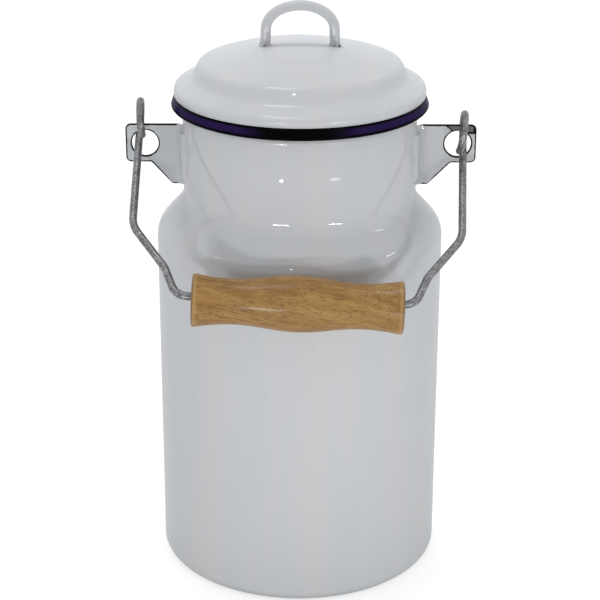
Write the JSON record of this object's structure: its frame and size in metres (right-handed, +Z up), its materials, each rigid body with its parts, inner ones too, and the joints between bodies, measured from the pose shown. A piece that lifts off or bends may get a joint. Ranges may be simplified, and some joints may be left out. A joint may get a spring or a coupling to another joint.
{
  "type": "enamel milk can",
  "caption": "Round enamelled steel milk can with a shouldered neck, a stepped lift-off lid with a rod handle, and a swinging wire bail with a turned wooden grip.",
  "frame": {"origin": "centre of the flat base, on the can's axis", "axes": "+Z up along the can's axis, -Y towards the side where the bail hangs at rest, +X towards the right ear"},
  "size_m": [0.1579, 0.1543, 0.2652],
  "materials": {
    "white_enamel": "glossy vitreous enamel on sheet steel, slightly wavy",
    "dark_enamel": "glossy blue-black enamel on the rolled edges",
    "galvanised_wire": "dull mottled zinc coating",
    "turned_beech": "satin varnish, dark flecks along the grain"
  },
  "bodies": {
    "can": {"can_body": "white_enamel", "mouth_rim": "dark_enamel", "left_ear": "white_enamel", "right_ear": "white_enamel"},
    "bail": {"bail_wire": "galvanised_wire"},
    "hand_grip": {"grip": "turned_beech"},
    "lid": {"lid_shell": "white_enamel", "lid_rim": "dark_enamel", "lid_collar": "white_enamel", "lid_handle": "white_enamel"}
  },
  "joints": [
    {"name": "bail_swing", "type": "hinge", "parent": "can", "child": "bail", "pos_m": [0.00094, -0.002, 0.20821], "axis": [-0.9993, 0, 0.0384], "range_deg": [0, 248]},
    {"name": "grip_spin", "type": "hinge", "parent": "bail", "child": "hand_grip", "pos_m": [-0.00068, -0.0773, 0.15302], "axis": [0.9993, 0, -0.0384], "continuous": true},
    {"name": "lid_lift", "type": "slide", "parent": "can", "child": "lid", "axis": [0, 0, 1], "range_m": [0, 0.06]}
  ]
}
